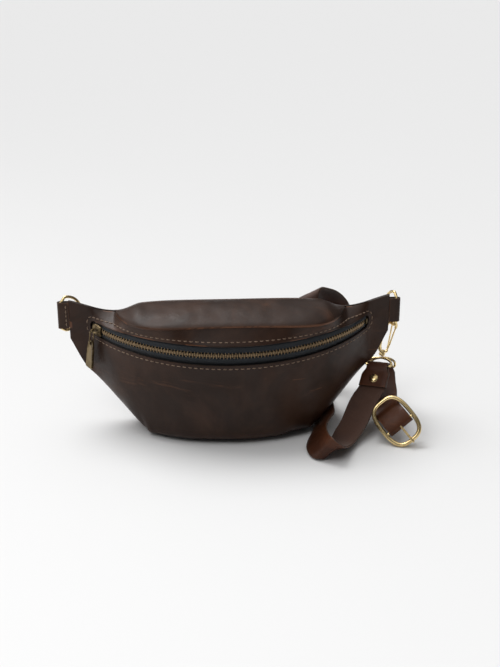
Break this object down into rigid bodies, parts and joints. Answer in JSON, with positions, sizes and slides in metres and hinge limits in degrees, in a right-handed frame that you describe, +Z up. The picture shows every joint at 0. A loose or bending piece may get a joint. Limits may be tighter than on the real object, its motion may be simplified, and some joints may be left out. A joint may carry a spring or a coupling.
{
  "type": "waist pack",
  "caption": "Leather waist pack with a curved metal zip, D-rings at its wing tips, a long belt strap on a snap hook and a short strap with a centre-bar buckle.",
  "frame": {"origin": "middle of the flat base, on the surface that the bag stands on", "axes": "+X along the bag's length towards the end that carries the hooks and straps, +Y from the zip side to the back that faces the body, +Z up"},
  "size_m": [0.3606, 0.1956, 0.133],
  "materials": {
    "bag_leather": "waxed pull-up leather, satin",
    "strap_leather": "pull-up leather, satin",
    "lining_cloth": "matt woven",
    "zip_cloth": "matt woven tape",
    "antique_brass": "aged, satin",
    "polished_brass": "polished"
  },
  "bodies": {
    "bag": {"front_panel": "bag_leather", "back_panel": "bag_leather", "top_panel": "bag_leather", "lining_back": "lining_cloth", "lining_front": "lining_cloth", "zip_tape_upper": "zip_cloth", "zip_tape_lower": "zip_cloth", "zip_teeth_upper": "antique_brass", "zip_teeth_lower": "antique_brass", "zip_stop": "antique_brass", "ring_tab_left": "bag_leather", "ring_tab_right": "bag_leather", "strap_long": "strap_leather", "rivet_long": "polished_brass"},
    "slider": {"zip_slider": "antique_brass"},
    "pull_link": {"zip_pull_link": "antique_brass"},
    "pull_bar": {"zip_pull_bar": "antique_brass"},
    "ring_left": {"d_ring_left": "polished_brass"},
    "ring_right": {"d_ring_right": "polished_brass"},
    "long_eye": {"eye_long": "polished_brass"},
    "long_hook": {"hook_long": "polished_brass"},
    "long_gate": {"gate_long": "polished_brass"},
    "short_hook": {"hook_short": "polished_brass"},
    "short_gate": {"gate_short": "polished_brass"},
    "short_eye": {"eye_short": "polished_brass"},
    "short_strap": {"strap_short": "strap_leather", "rivet_short": "polished_brass"},
    "buckle": {"buckle_frame": "polished_brass"},
    "prong": {"buckle_prong": "polished_brass"}
  },
  "joints": [
    {"name": "zip_travel", "type": "hinge", "parent": "bag", "child": "slider", "pos_m": [0, 0.13204, 0.11429], "axis": [0, -0.1045, 0.9945], "range_deg": [0, 100.7]},
    {"name": "pull_link_swing", "type": "hinge", "parent": "slider", "child": "pull_link", "pos_m": [-0.14014, 0.01593, 0.10209], "axis": [-0.6297, 0.7517, 0.1961], "range_deg": [0, 95]},
    {"name": "pull_bar_swing", "type": "hinge", "parent": "pull_link", "child": "pull_bar", "pos_m": [-0.14175, 0.01785, 0.08954], "axis": [-0.77, -0.638, 0], "range_deg": [-6, 20]},
    {"name": "left_ring_swing", "type": "hinge", "parent": "bag", "child": "ring_left", "pos_m": [-0.1724, 0.03748, 0.1135], "axis": [0, 0, 1], "range_deg": [-10, 270]},
    {"name": "right_ring_swing", "type": "hinge", "parent": "bag", "child": "ring_right", "pos_m": [0.1724, 0.03748, 0.111], "axis": [0, 0, 1], "range_deg": [-1.5, 1.5]},
    {"name": "long_eye_fold", "type": "hinge", "parent": "bag", "child": "long_eye", "pos_m": [0.15457, 0.03042, 0.05216], "axis": [0.8733, -0.4818, 0.0727], "range_deg": [-2, 2]},
    {"name": "long_hook_swivel", "type": "hinge", "parent": "bag", "child": "long_hook", "pos_m": [0.1585, 0.0385, 0.0585], "axis": [0.3074, 0.1771, 0.9349], "range_deg": [-12, 4]},
    {"name": "long_gate_open", "type": "hinge", "parent": "long_hook", "child": "long_gate", "pos_m": [0.16564, 0.04151, 0.06521], "axis": [-0.3325, 0.9406, -0.0689], "range_deg": [0, 14], "stiffness_Nm_per_rad": 0.02, "springref_deg": -11.46},
    {"name": "short_hook_swing", "type": "hinge", "parent": "bag", "child": "short_hook", "pos_m": [0.16746, 0.05269, 0.09675], "axis": [0.31, -0.9507, 0.0077], "range_deg": [0, 1.5]},
    {"name": "short_gate_open", "type": "hinge", "parent": "short_hook", "child": "short_gate", "pos_m": [0.16759, 0.05245, 0.06193], "axis": [-0.31, 0.9507, -0.0077], "range_deg": [0, 14], "stiffness_Nm_per_rad": 0.02, "springref_deg": -11.46},
    {"name": "short_eye_swivel", "type": "hinge", "parent": "short_hook", "child": "short_eye", "pos_m": [0.1618, 0.0505, 0.0537], "axis": [0.1301, 0.0504, 0.9902], "range_deg": [0, 1.5]},
    {"name": "short_strap_fold", "type": "hinge", "parent": "short_eye", "child": "short_strap", "pos_m": [0.16299, 0.0505, 0.04176], "axis": [0.9739, -0.2049, 0.0974], "range_deg": [0, 1]},
    {"name": "buckle_turn", "type": "hinge", "parent": "short_strap", "child": "buckle", "pos_m": [0.16489, -0.04437, 0.01891], "axis": [0.7801, 0.1349, 0.611], "range_deg": [-1, 15]},
    {"name": "prong_lift", "type": "hinge", "parent": "buckle", "child": "prong", "pos_m": [0.16489, -0.04437, 0.01891], "axis": [-0.7801, -0.1349, -0.611], "range_deg": [0, 110]}
  ]
}
